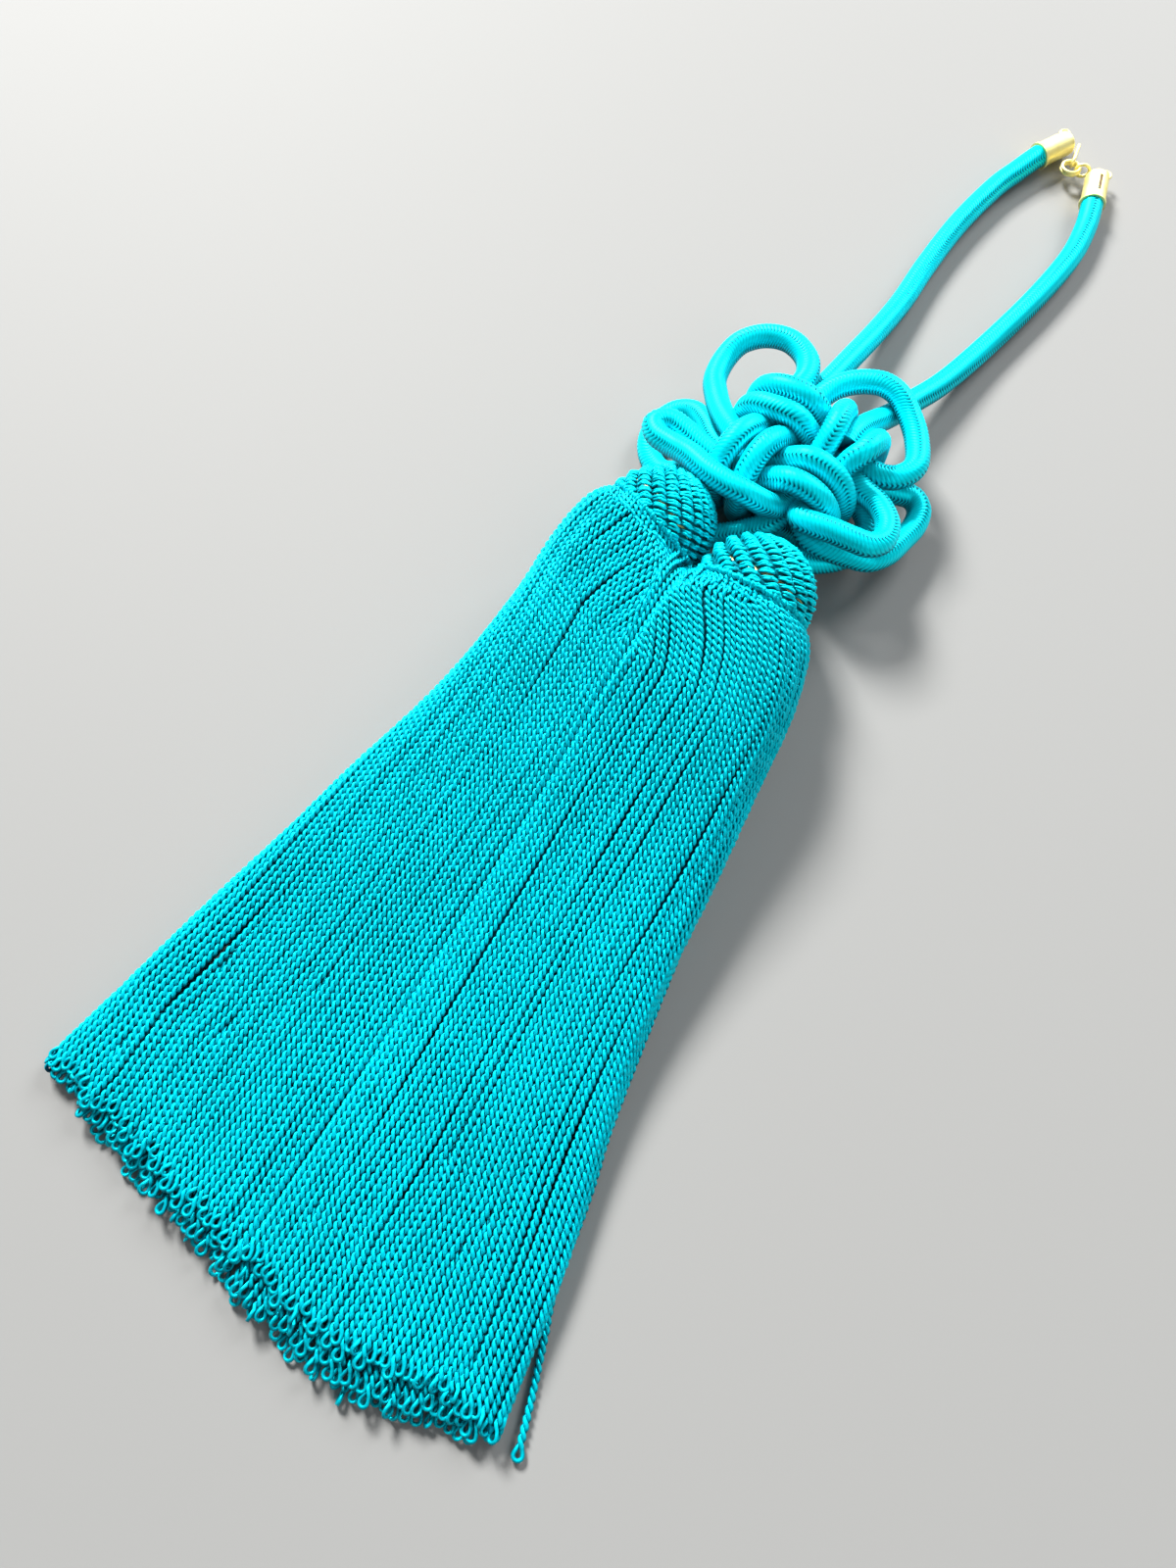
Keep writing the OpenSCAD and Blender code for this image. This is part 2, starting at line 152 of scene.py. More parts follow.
def finished(name, points, faces, painted_light, material):
    """A smooth mesh piece that rides with the tassel. Each point carries a painted-light value, which the
    material
    reads: 0 is the darkest painted shade, as deep in the thread's grooves, 1 full painted light, as on top of
    its ribs."""
    mesh = bpy.data.meshes.new(name)
    mesh.from_pydata(points.tolist(), [], faces)
    mesh.shade_smooth()
    mesh.materials.append(material)
    values = mesh.attributes.new("painted_light", "FLOAT", "POINT").data
    values.foreach_set("value", np.asarray(painted_light, np.float32))
    piece = bpy.data.objects.new(name, mesh)
    bpy.context.scene.collection.objects.link(piece)
    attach(piece, "root")
    return piece


cord_radius = 0.0030
cord_sides = 16
# A rib is drawn by four rings, whose skin stands this high, and slopes along the cord between two seams
rib = 0.00092
rib_heights = np.array([-0.15, -0.07, 0.09, 0.06]) / 1000
ring_step = rib / len(rib_heights)
rib_lean = 0.0022
# How much of its height a rib has on a seam and in the middle of a panel, and what it gains towards a seam
seam_share, panel_share, panel_gain = 1.1, 0.26, 0.34
# Where the first seam starts round the cord, how much the seams wind in a metre, and how deep they are
seams = 4
seam_start, seam_twist, seam_dip = 0.6, 9, 0.00005
# Painted shade on the cord: how bright its colour is painted on the cord's flanks, which face sideways or
# down, on a rib of no height, and what a rib adds to that, so that the grooves between ribs are painted
# darker.
# It turns bright over this much of the way up from the flanks, which starts lower on a rib.
flank_painted_shade, rib_painted_light, rib_painted_contrast = 0.25, 0.88, 1.9
flank_low, flank_rib, flank_way = 0.15, 0.7, 0.5


def rings_along(line):
    """How many rings of ribs lie along a line"""
    return round(length_of(line) / ring_step)


def braided(name, line, first_ring, last_ring):
    """The skin of a cord along line, from one ring of ribs to another"""
    run = np.concatenate([[0], np.cumsum(np.linalg.norm(np.diff(line, axis=0), axis=1))])
    _, up, side = ways(line)
    angle = np.arange(cord_sides) / cord_sides * 2 * np.pi
    across = np.arange(cord_sides) / (cord_sides / seams)
    panel = np.floor(across).astype(int)
    share = across - panel
    lean = rib_lean * (np.where(panel % 2 == 0, share, 1 - share) - 0.5)
    rings = np.arange(first_ring, last_ring + 1)
    along = np.clip(rings[:, None] * ring_step + lean, 0, run[-1])
    rib_height = rib_heights[(rings[:, None] + 2 * (panel % 2)) % len(rib_heights)]
    height = np.where(share == 0, seam_share * rib_height - seam_dip,
                      rib_height * (panel_share + panel_gain * np.abs(2 * share - 1) ** 3))

    def read(rows):
        return np.stack([np.interp(along, run, column) for column in rows.T], axis=-1)

    round_it = angle + seam_start + along * seam_twist
    out = np.cos(round_it)[..., None] * read(up) + np.sin(round_it)[..., None] * read(side)
    points = read(line) + (cord_radius + height)[..., None] * out
    points[..., 2] = np.maximum(points[..., 2], 0)
    last = (len(rings) - 1) * cord_sides
    ends = [list(range(cord_sides))[::-1], list(range(last, last + cord_sides))]
    faces = ring_faces(len(rings), cord_sides).tolist() + ends
    ribbed = height / np.ptp(rib_heights)
    # Painted shade: the colour darkens on the cord's sides and underside by how far its skin faces up, and in
    # its rib grooves
    painted_top_light = ((out[..., 2] + flank_low + flank_rib * ribbed) / flank_way).clip(0, 1)
    tone = (flank_painted_shade + (1 - flank_painted_shade) * painted_top_light) * (rib_painted_light + rib_painted_contrast * ribbed)
    painted_light = tone.clip(0, 1).ravel()
    return finished(name, points.reshape(-1, 3), faces, painted_light, silk_cord)


def thread_finish(name, deep, bright, rough, glow):
    """Dyed silk with painted light: by each point's painted-light value its colour runs from the deep colour,
    painted shade in its grooves and on its shaded sides, to the bright one on its lit ribs, with a fine
    grain, a random tone and a soft sheen
    """
    finish = bpy.data.materials.new(name)
    finish.use_nodes = True
    tree = finish.node_tree
    made = tree.nodes["Principled BSDF"]
    painted_light = tree.nodes.new("ShaderNodeAttribute")
    painted_light.attribute_name = "painted_light"
    ramp = tree.nodes.new("ShaderNodeValToRGB")
    ramp.color_ramp.elements[0].position = 0.05
    ramp.color_ramp.elements[0].color = (*deep, 1)
    ramp.color_ramp.elements[1].position = 0.75
    ramp.color_ramp.elements[1].color = (*bright, 1)
    tree.links.new(painted_light.outputs["Fac"], ramp.inputs["Fac"])
    where = tree.nodes.new("ShaderNodeTexCoord")
    grain = tree.nodes.new("ShaderNodeTexNoise")
    grain.inputs["Scale"].default_value = 2600
    grain.inputs["Detail"].default_value = 3
    tree.links.new(where.outputs["Object"], grain.inputs["Vector"])
    tone = tree.nodes.new("ShaderNodeTexNoise")
    tone.inputs["Scale"].default_value = 45
    tone.inputs["Detail"].default_value = 2
    tree.links.new(where.outputs["Object"], tone.inputs["Vector"])
    shade = tree.nodes.new("ShaderNodeMapRange")
    shade.inputs["From Min"].default_value = 0.3
    shade.inputs["From Max"].default_value = 0.7
    shade.inputs["To Min"].default_value = 0.86
    shade.inputs["To Max"].default_value = 1.08
    tree.links.new(tone.outputs["Fac"], shade.inputs["Value"])
    dyed = tree.nodes.new("ShaderNodeVectorMath")
    dyed.operation = "SCALE"
    tree.links.new(ramp.outputs["Color"], dyed.inputs["Vector"])
    tree.links.new(shade.outputs["Result"], dyed.inputs["Scale"])
    tree.links.new(dyed.outputs["Vector"], made.inputs["Base Color"])
    bump = tree.nodes.new("ShaderNodeBump")
    bump.inputs["Strength"].default_value = 0.35
    bump.inputs["Distance"].default_value = 0.00008
    tree.links.new(grain.outputs["Fac"], bump.inputs["Height"])
    tree.links.new(bump.outputs["Normal"], made.inputs["Normal"])
    made.inputs["Roughness"].default_value = rough
    made.inputs["Metallic"].default_value = 0.35
    made.inputs["Specular IOR Level"].default_value = 0.2
    made.inputs["Specular Tint"].default_value = (0.1, 0.9, 1.0, 1)
    made.inputs["Sheen Weight"].default_value = glow
    made.inputs["Sheen Roughness"].default_value = 0.4
    made.inputs["Sheen Tint"].default_value = (0.05, 0.9, 1.0, 1)
    return finish


silk_cord = thread_finish("silk_cord", deep=(0.0, 0.06, 0.12), bright=(0.0, 0.86, 0.98),
                          rough=0.38, glow=0.12)

knot_mid = np.array([7.6, 212.8, 13])
left_leg = np.array([
    (-6.8, 24, -3.2), (-5.8, 30, -3.8), (-4.8, 40, -5.2), (-3.6, 54, -7.6), (-2.9, 68, -9.4),
    (-3, 84, -10), (-2, 102, -10), (0.8, 119, -10), (3.6, 128, -9.8)]) + knot_mid
right_leg = np.array([
    (9, 5.6, 7.1), (9, 9.6, 6.8), (9.6, 14.4, 4.8), (10.8, 20.4, 1.2), (12.6, 27.6, -2.6),
    (15, 36.4, -5.2), (18.6, 48, -7.6), (22.6, 66, -9.6), (27, 88, -10), (29.3, 106, -10),
    (28.8, 118, -9.8)]) + knot_mid

# Each cap's closed end, and the way it points, in degrees left of +Y. Then a cap's length and the thickness
# of its closed end.
cap_ends = {"left": ((19.2, 358.8, 3.6), -27.4), "right": ((31.6, 350.7, 3.6), 15.2)}
cap_length, cap_floor = 11, 1


def into_cap(side):
    """The cord's last points, from its cap's mouth to its floor"""
    end, turn = cap_ends[side]
    ahead = np.array([-math.sin(math.radians(turn)), math.cos(math.radians(turn)), 0])
    return [np.array(end) - deep * ahead for deep in (cap_length, cap_length / 2, cap_floor)]


# Route of the left cord through the knot, from its leg to the left head
left_route = np.array([
    (-6.8, 24, -3.2), (-8, 18, -3), (-9.4, 12, -2.9), (-10.6, 6.5, -2.9), (-11.3, 2.5, -3.8),
    (-12.2, -1.8, -8), (-13.2, -6, -10), (-14, -10.4, -9.8), (-14.6, -14.6, -7.2), (-14.8, -16.6, -2.6),
    (-14.8, -16.6, 2.6), (-14.6, -14.6, 7.2), (-14, -10.4, 9.8), (-13.2, -6, 10), (-12.2, -1.8, 8),
    (-11.3, 2.5, 3.8), (-10.8, 6.5, 2.9), (-10.6, 12, 2.9), (-10, 17, 2.9), (-10, 23, 2.4),
    (-12.8, 28, 2), (-18.8, 31, 1.4), (-25, 30, 0.6), (-29.6, 25.4, 0), (-31, 19.4, -1),
    (-30, 12.6, -1), (-27.2, 8, -0.4), (-23.4, 3.4, 0.8), (-18.8, -0.6, 2.2), (-14.4, -3.4, 2.9),
    (-9.5, -4.6, 2.9), (-4.6, -4.8, 3.2), (-0.4, -4.8, 7.2), (3.6, -4.7, 10), (8, -4.5, 9.8),
    (12.4, -4.7, 7.2), (14.8, -5.1, 2.6), (14.8, -5.1, -2.6), (12.4, -4.7, -7.2), (8, -4.5, -9.8),
    (3.6, -4.7, -10), (-0.4, -4.8, -7.2), (-4.6, -4.8, -3.2), (-9.5, -4.6, -2.9), (-15.5, -4.2, -3),
    (-21.6, -1.6, -4.4), (-27, 3.4, -6.4), (-32, 6.2, -8.4), (-36.4, 4.6, -9.8), (-38.4, -1.4, -10),
    (-37.4, -6.8, -10), (-34.4, -10.8, -10), (-30, -13.4, -9), (-25.4, -13.2, -6.6), (-20.6, -11.8, -3.8),
    (-15.5, -10.8, -2.9), (-10, -10.8, -2.9), (-5.2, -11, -3.2), (-0.6, -11.6, -7.4), (3.4, -12, -10),
    (8, -12, -9.8), (11.8, -11.8, -7.2), (13.9, -11.5, -2.6), (13.9, -11.5, 2.6), (11.8, -11.8, 7.2),
    (8, -12, 9.8), (3.4, -12, 10), (-0.6, -11.6, 7.4), (-5.2, -11, 3.2), (-10, -10.8, 2.9),
    (-15.5, -11, 2.9), (-21, -10.1, 3.2), (-26.4, -8.6, 3.5), (-31.4, -8, 3.8), (-34, -11, 4.2),
    (-31.6, -14, 4.8), (-26, -15.4, 6), (-21, -17, 8), (-15, -19.6, 9.6), (-9.4, -20.8, 10.2),
    (-4.4, -20.6, 9.8), (-0.2, -19, 7.2), (2.2, -16, 3.8), (3.2, -11.8, 2.9), (3.6, -7, 2.9),
    (4.2, -2.4, 3.9), (4.8, 1.8, 8), (4.9, 5.5, 10), (4.5, 9.6, 10), (4.1, 14.1, 7.4),
    (4, 16.2, 2.6), (4, 16.2, -2.6), (4.1, 14.1, -7.4), (4.5, 9.6, -10), (4.9, 5.5, -10),
    (4.8, 1.8, -8), (4.2, -2.4, -3.9), (3.6, -7, -2.9), (3, -12, -2.9), (1.4, -17, -2.9),
    (-2, -20.9, -3.6), (-5.6, -24, -4), (-9.2, -27.1, -4)]) + knot_mid

left_line = smooth(placed(into_cap("left")[::-1] + list(left_leg[:0:-1]) + list(left_route)))
leg_points = smooth(placed(into_cap("left")[::-1] + list(left_leg[::-1])))
joint_ring = rings_along(leg_points)
left_leg_piece = braided("cord_leg_left", left_line, 0, joint_ring)
right_line = smooth(placed(list(right_leg) + into_cap("right")))
right_leg_piece = braided("cord_leg_right", right_line, 0, rings_along(right_line))
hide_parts("leg_left")
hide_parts("leg_right")


# The end caps and their links
# Drawn caps of pale gilt brass, with a rounded closed end and a lip, are pushed over the cord's ends, and
# the right one is slit where it was crimped, its slit coloured dark brown as painted shade. A wire eye is
# soldered to each. A long link, a split ring of two turns and a small ring of the same wire close the loop.
gilt = bpy.data.materials.new("gilt")
gilt.use_nodes = True
gilt_nodes = gilt.node_tree.nodes
gilt_made = gilt_nodes["Principled BSDF"]
gilt_made.inputs["Metallic"].default_value = 0.8
where = gilt_nodes.new("ShaderNodeTexCoord")
wear = gilt_nodes.new("ShaderNodeTexNoise")
wear.inputs["Scale"].default_value = 420
wear.inputs["Detail"].default_value = 4
tone = gilt_nodes.new("ShaderNodeValToRGB")
tone.color_ramp.elements[0].position = 0.3
tone.color_ramp.elements[0].color = (0.97, 0.82, 0.29, 1)
tone.color_ramp.elements[1].position = 0.62
tone.color_ramp.elements[1].color = (1.0, 0.91, 0.42, 1)
dull = gilt_nodes.new("ShaderNodeMapRange")
dull.inputs["To Min"].default_value = 0.45
dull.inputs["To Max"].default_value = 0.62
dents = gilt_nodes.new("ShaderNodeBump")
dents.inputs["Strength"].default_value = 0.15
dents.inputs["Distance"].default_value = 0.00005
for start, end in ((where.outputs["Object"], wear.inputs["Vector"]),
                   (wear.outputs["Fac"], tone.inputs["Fac"]),
                   (tone.outputs["Color"], gilt_made.inputs["Base Color"]),
                   (wear.outputs["Fac"], dull.inputs["Value"]),
                   (dull.outputs["Result"], gilt_made.inputs["Roughness"]),
                   (wear.outputs["Fac"], dents.inputs["Height"]),
                   (dents.outputs["Normal"], gilt_made.inputs["Normal"])):
    gilt.node_tree.links.new(start, end)
# Dark brown for the right cap's slit, painted shade for its gap
slit_shade = bpy.data.materials.new("slit_shade")
slit_shade.use_nodes = True
slit_shade_made = slit_shade.node_tree.nodes["Principled BSDF"]
slit_shade_made.inputs["Base Color"].default_value = (0.13, 0.075, 0.025, 1)
slit_shade_made.inputs["Metallic"].default_value = 0.2
slit_shade_made.inputs["Roughness"].default_value = 0.6
for name in ("hook_link", "side_link"):
    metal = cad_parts[name]
    metal.data.materials.clear()
    metal.data.materials.append(gilt)


def pick(choose):
    """In edit mode, selects the faces for which choose(middle, normal) holds, before the piece is placed"""
    mesh = bpy.context.object.data
    bpy.ops.mesh.select_mode(type="FACE")
    bpy.ops.mesh.select_all(action="DESELECT")
    shape = bmesh.from_edit_mesh(mesh)
    for face in shape.faces:
        if choose(face.calc_center_median(), face.normal):
            face.select_set(True)
    bmesh.update_edit_mesh(mesh)


def laid_in_place(name, nodes):
    """Ends the work on a metal piece: smooth but for its edges, gilt, and with its place in its mesh"""
    bpy.ops.object.transform_apply(location=True, rotation=True, scale=True)
    bpy.ops.object.shade_smooth_by_angle(angle=math.radians(35))
    piece = bpy.context.object
    piece.name = name
    if not piece.data.materials:
        piece.data.materials.append(gilt)
    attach(piece, "root")
    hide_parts(*nodes)
    piece.select_set(False)
    return piece


# The caps' and links' other sizes, in metres
cap_radius = 0.0033
cap_wall = 0.0003
cap_round = 0.0012
lip_radius = 0.0036
lip_length = 0.0009
wire = 0.00045
# Each eye is this far beyond its cap's end and to its side, in millimetres, on a blob of solder of this
# radius, which is flattened to this share
eye_radius = 0.0013
eyes = {"left": (1.2, -3), "right": (1.2, 2.2)}
solder_radius, solder_flat = 0.0008, 0.75
# The slit's place round the right cap and half its width, then where it begins and ends along the cap, how
# far in from its edge its walls go down, and how deep
slit_turn, slit_half = math.radians(-83), math.radians(7)
slit_from, slit_to = -0.0029, 0.0029
slit_edge, slit_depth = 0.00004, 0.00025
lip_top = lip_length - cap_length / 2000
outside = cap_radius - cap_wall / 2
for side, (end, turn) in cap_ends.items():
    tilt = math.radians(turn)
    ahead = np.array([-math.sin(tilt), math.cos(tilt), 0])
    aside = np.array([math.cos(tilt), math.sin(tilt), 0])
    middle = placed(np.array(end) - cap_length / 2 * ahead)
    bpy.ops.mesh.primitive_cylinder_add(vertices=48, radius=cap_radius, depth=cap_length / 1000,
                                        location=middle, rotation=(math.radians(-90), 0, tilt))
    cap = bpy.context.object
    cap.data.materials.append(gilt)
    cap.data.materials.append(slit_shade)
    bpy.ops.object.mode_set(mode="EDIT")
    # The side is cut round where the lip and the slit begin and end. Then the closed end is rounded, the
    # other one hollowed out and the lip raised.
    for height in (lip_top, slit_from, slit_to):
        bpy.ops.mesh.select_all(action="SELECT")
        bpy.ops.mesh.bisect(plane_co=middle + height * ahead, plane_no=ahead)
    pick(lambda spot, normal: normal.z > 0.9)
    bpy.ops.mesh.bevel(offset=cap_round, segments=5, affect="EDGES")
    pick(lambda spot, normal: normal.z < -0.9)
    bpy.ops.mesh.inset(thickness=cap_wall)
    inward = (cap_length - cap_floor) / 1000 * ahead
    bpy.ops.mesh.extrude_region_move(TRANSFORM_OT_translate={"value": inward})
    pick(lambda spot, normal: spot.z < lip_top and abs(normal.z) < 0.1 and spot.xy.length > outside)
    bpy.ops.mesh.extrude_region_shrink_fatten(TRANSFORM_OT_shrink_fatten={"value": lip_radius - cap_radius})
    if side == "right":
        slit_way = mathutils.Vector((math.cos(slit_turn), math.sin(slit_turn), 0))
        pick(lambda spot, normal: slit_from < spot.z < slit_to and spot.xy.length > outside
             and normal.dot(slit_way) > math.cos(slit_half))
        bpy.ops.mesh.inset(thickness=slit_edge)
        bpy.ops.mesh.extrude_region_move(TRANSFORM_OT_translate={"value": (0, 0, -slit_depth)})
        # The slit's faces take the dark painted-shade colour
        cap.active_material_index = 1
        bpy.ops.object.material_slot_assign()
    bpy.ops.object.mode_set(mode="OBJECT")
    out, over = eyes[side]
    eye = placed(np.array(end) + out * ahead + over * aside)
    bpy.ops.mesh.primitive_torus_add(major_segments=36, minor_segments=12, major_radius=eye_radius,
                                     minor_radius=wire, location=eye)
    ring = bpy.context.object
    ring.data.materials.append(gilt)
    bpy.ops.mesh.primitive_ico_sphere_add(subdivisions=3, radius=solder_radius,
                                          location=eye - eye_radius * ahead)
    bpy.ops.transform.resize(value=(1, 1, solder_flat))
    bpy.context.object.data.materials.append(gilt)
    ring.select_set(True)
    cap.select_set(True)
    bpy.context.view_layer.objects.active = cap
    bpy.ops.object.join()
    laid_in_place("end_cap_" + side, ["cap_" + side])


def at_cut(v):
    """Whether a corner of the split ring is one of those where its wire is cut"""
    return abs(v.co.y) < 1e-6 and v.co.x > 0


ring_mid = placed((23.9, 349.7, 3.6))
ring_radius = 0.0025
whole_turn = 2 * math.pi
bpy.ops.mesh.primitive_torus_add(major_segments=48, minor_segments=12, major_radius=ring_radius,
                                 minor_radius=wire)
split_ring = bpy.context.object
# The closed ring becomes one turn of a coil, and a copy of it the next turn
coil = bmesh.new()
coil.from_mesh(split_ring.data)
cut = [edge for edge in coil.edges if all(at_cut(v) for v in edge.verts)]
bmesh.ops.split_edges(coil, edges=cut)
for v in coil.verts:
    turned = math.atan2(v.co.y, v.co.x) % whole_turn
    if at_cut(v):
        turned = 0 if v.link_faces[0].calc_center_median().y > 0 else whole_turn
    v.co.z += 2 * wire * (turned / whole_turn - 1)
coil.to_mesh(split_ring.data)
coil.free()
bpy.ops.object.mode_set(mode="EDIT")
bpy.ops.mesh.select_all(action="SELECT")
bpy.ops.mesh.duplicate_move(TRANSFORM_OT_translate={"value": (0, 0, 2 * wire)})
bpy.ops.mesh.select_all(action="SELECT")
bpy.ops.mesh.remove_doubles(threshold=5e-6)
bpy.ops.mesh.fill_holes(sides=0)
bpy.ops.object.mode_set(mode="OBJECT")
split_ring.location = ring_mid
split_ring = laid_in_place("split_ring", ["jump_ring"])


# The knot
# Two of the same silk cords, each woven through the other in one flat good-luck knot with four arms and
# four open ears. The left cord starts in the left leg and the right one under the left arm; both end in
# the heads.
right_route = np.array([
    (-3.9, 13.4, -2.9), (-4.2, 6.5, -2.9), (-4.7, 2.5, -3.8), (-5.6, -1.8, -8), (-6.6, -6, -10),
    (-7.2, -10.4, -9.8), (-7.4, -14.6, -7.2), (-7.4, -16.6, -2.6), (-7.4, -16.6, 2.6), (-7.4, -14.6, 7.2),
    (-7.2, -10.4, 9.8), (-6.6, -6, 10), (-5.6, -1.8, 8), (-4.7, 2.5, 3.8), (-4.2, 6.5, 2.9),
    (-4.2, 12, 2.9), (-3.9, 17, 2.9), (-2.8, 21, 3.1), (-0.4, 24.6, 3.4), (3.4, 27.6, 3.7),
    (8, 29.2, 3.9), (12.6, 28.7, 3.2), (17.2, 25.8, 1.8), (21.6, 21, 1.2), (24.9, 13.8, 1.6),
    (23, 8.2, 2), (18.6, 5.8, 2.2), (13.4, 6.8, 2), (8.8, 8.8, 1.8), (4.2, 10.4, 2.2),
    (0, 11, 5.8), (-4.4, 11, 9.9), (-10.4, 10.9, 9.8), (-15.2, 10.8, 7.2), (-17.2, 10.8, 2.6),
    (-17.2, 10.8, -2.6), (-15.2, 10.8, -7.2), (-10.4, 10.9, -9.8), (-4.4, 11, -9.9), (0, 11, -6.4),
    (3.6, 10.4, -3.8), (8.8, 8.6, -3.2), (13.4, 6.9, -3.1), (18.4, 6.8, -3.6), (23, 8.6, -4.6),
    (27.4, 10.4, -5.8), (30.6, 8.2, -6.2), (31.6, 3.4, -6.1), (30.8, -2.4, -5.2), (29.6, -8.4, -4),
    (26.8, -13, -2.9), (22, -15.2, -2), (16, -16.6, -1.4), (11.4, -15.6, -1.8), (8.8, -11.8, -2.9),
    (8.8, -7, -2.9), (9.6, -2.8, -3.6), (11.4, 0.6, -8), (13.4, 4, -10), (14.6, 8, -9.4),
    (14.8, 11, -6.8), (14.8, 12.4, -2.4), (14.8, 12.4, 2.4), (14.8, 11, 6.6), (14.6, 7.6, 9.2),
    (13.8, 4, 9.9), (12, 1.2, 8.2), (9.8, -2.6, 3.8), (8.8, -7, 2.9), (8.6, -11.4, 2.9),
    (7.8, -14.8, 4.1), (9.6, -17.4, 6), (13.2, -17.6, 6.8), (17.6, -17, 6.8), (22.2, -16.2, 6.2),
    (26, -14.8, 5.2), (28, -11, 4), (26.6, -5.8, 3), (22.2, -1.8, 2.4), (17.6, -0.2, 2.2),
    (13.2, 1.6, 1.8), (8.8, 3.4, 1.8), (4.2, 4.4, 2.2), (0, 4.6, 5.8), (-4.4, 4.3, 9.9),
    (-10.4, 4.1, 9.8), (-15.4, 4.6, 7.2), (-17.6, 5, 2.6), (-17.6, 5, -2.6), (-15.4, 4.6, -7.2),
    (-10.4, 4.1, -9.8), (-4.4, 4.3, -9.9), (0, 4.6, -6.4), (3.6, 4.4, -3.6), (8.8, 3.4, -3),
    (13.2, 2.2, -3), (18, 0.4, -4.2), (21.8, -2.6, -5.4), (22.8, -7.8, -6.6), (20.4, -13.2, -7.2),
    (15.6, -17.8, -6.8), (11.6, -20.6, -5.4), (9, -24.2, -4), (9, -28, -4)]) + knot_mid

knot_left = braided("knot_cord_left_silk", left_line, joint_ring, rings_along(left_line))
knot_line = smooth(placed(right_route))
knot_right = braided("knot_cord_right_silk", knot_line, 0, rings_along(knot_line))
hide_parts("knot_cord_left")
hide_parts("knot_cord_right")


# The gilt caps inside the heads
# Each head is formed over a small gilt cap. Teal yarn is wound round it under the net, coloured dark as
# painted shade for the net's holes, and a turn or two left open near the rim lets the gilt glint through.
for side in ("left", "right"):
    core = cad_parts["core_" + side]
    core.data.materials.clear()
    core.data.materials.append(gilt)

# The middle of each head's widest ring, its radius there, and its lean towards the right, in degrees
heads = {"left": {"ring": np.array([-11.9, 178.6, 15]), "radius": 13.75, "lean": 20.7},
         "right": {"ring": np.array([16.6, 173.8, 15]), "radius": 14.5, "lean": 0}}
head_height = 14.2
net_thickness = 2
# The rim lies this far below the widest ring, and its slope brings it further down on top
rim_drop = 0.8
rim_slope = math.tan(math.radians(17))
# Below its widest ring a head pulls in by this share of what it does above
foot_share = 0.6


def rim_of(head, turn):
    """How far up a head, as an angle, its slanting rim lies"""
    return -(rim_drop + rim_slope * head["radius"] * np.sin(turn)) / head_height


def on_head(head, turn, rise, lift):
    """Points over a head: turn round it, rise from its widest ring to its crown, lift off its skin"""
    lean = math.radians(head["lean"])
    axis = np.array([math.sin(lean), math.cos(lean), 0])
    aside = np.array([math.cos(lean), -math.sin(lean), 0])
    round_it = np.cos(turn)[..., None] * aside + np.sin(turn)[..., None] * np.array([0, 0, 1])
    radius = (head["radius"] + lift) * np.cos(np.where(rise > 0, rise, foot_share * rise))
    height = np.where(rise > 0, (head_height + lift) * np.sin(rise), head_height * rise)
    return head["ring"] + radius[..., None] * round_it + height[..., None] * axis


def tubes(lines, radius, sides):
    """Round tubes along many lines of as many points each, as one set of points and faces"""
    _, up, side = ways(lines)
    angle = (np.arange(sides) + 0.5) / sides * 2 * np.pi
    round_it = np.cos(angle)[:, None] * up[..., None, :] + np.sin(angle)[:, None] * side[..., None, :]
    points = (lines[..., None, :] + radius * round_it).reshape(-1, 3)
    count, rings = lines.shape[0], lines.shape[1]
    start = np.arange(count)[:, None, None] * rings * sides
    faces = (ring_faces(rings, sides) + start).reshape(-1, 4).tolist()
    last = (rings - 1) * sides
    for n in range(count):
        base = n * rings * sides
        faces.append(list(range(base + sides - 1, base - 1, -1)))
        faces.append(list(range(base + last, base + last + sides)))
    return points, faces


# The yarn's dark colour is painted shade, standing for the shade in the holes of the net
yarn_painted_shade = thread_finish("yarn_painted_shade", deep=(0.0, 0.05, 0.08), bright=(0.0, 0.20, 0.26),
                          rough=0.6, glow=0.2)
yarn_radius, yarn_painted_level = 0.00072, 0.8
yarn_lift = 0.1 - net_thickness
rings_a_winding = 30
# Turns of yarn, and the shares of the way to the crown where they begin and end
windings = ((3, 0.03, 0.14), (14, 0.20, 0.94))
for side, head in heads.items():
    for part, (turns, low, high) in zip("ab", windings):
        t = np.linspace(0, 1, turns * rings_a_winding)
        turn = t * turns * 2 * np.pi
        rim = rim_of(head, turn)
        rise = rim + (np.pi / 2 - rim) * (low + (high - low) * t)
        points, faces = tubes(placed(on_head(head, turn, rise, yarn_lift))[None], yarn_radius, 5)
        painted_light = np.full(len(points), yarn_painted_level)
        finished("winding_" + side + "_" + part, points, faces, painted_light, yarn_painted_shade)


# The nets over the heads
# Loops of silk thread are needle-worked round each head, every one hung in the one before it. They stand in
# thick ridges that climb the head aslant, and two twisted threads round the rim hold the lowest ones.
net_silk = thread_finish("net_silk", deep=(0.0, 0.05, 0.10), bright=(0.0, 0.80, 0.92),
                         rough=0.38, glow=0.1)
# A loop's thread: across the ridge, along it, and up from the middle of the net
loop = smooth([(-1.7, 0.35, -1.3), (-1.3, 0.15, -0.4), (-0.5, -0.02, 0.5), (0.35, -0.15, 0.75),
               (1.1, -0.2, 0.35), (1.6, 0.1, -0.4), (1.2, 0.38, 0.1), (0.4, 0.42, 0.75),
               (-0.45, 0.56, 0.5), (-1.3, 0.76, -0.5), (-1.7, 1.0, -1.4)], 2)
# The way from one loop of a ridge to the next, how deep loops lie under the head's skin, how unevenly they
# are worked, and how small they get towards the crown, as a share
loop_pitch, loop_depth, hand_error, least_size = 1.9, 0.95, 0.11, 0.4
net_thread, net_sides = 0.0004, 4
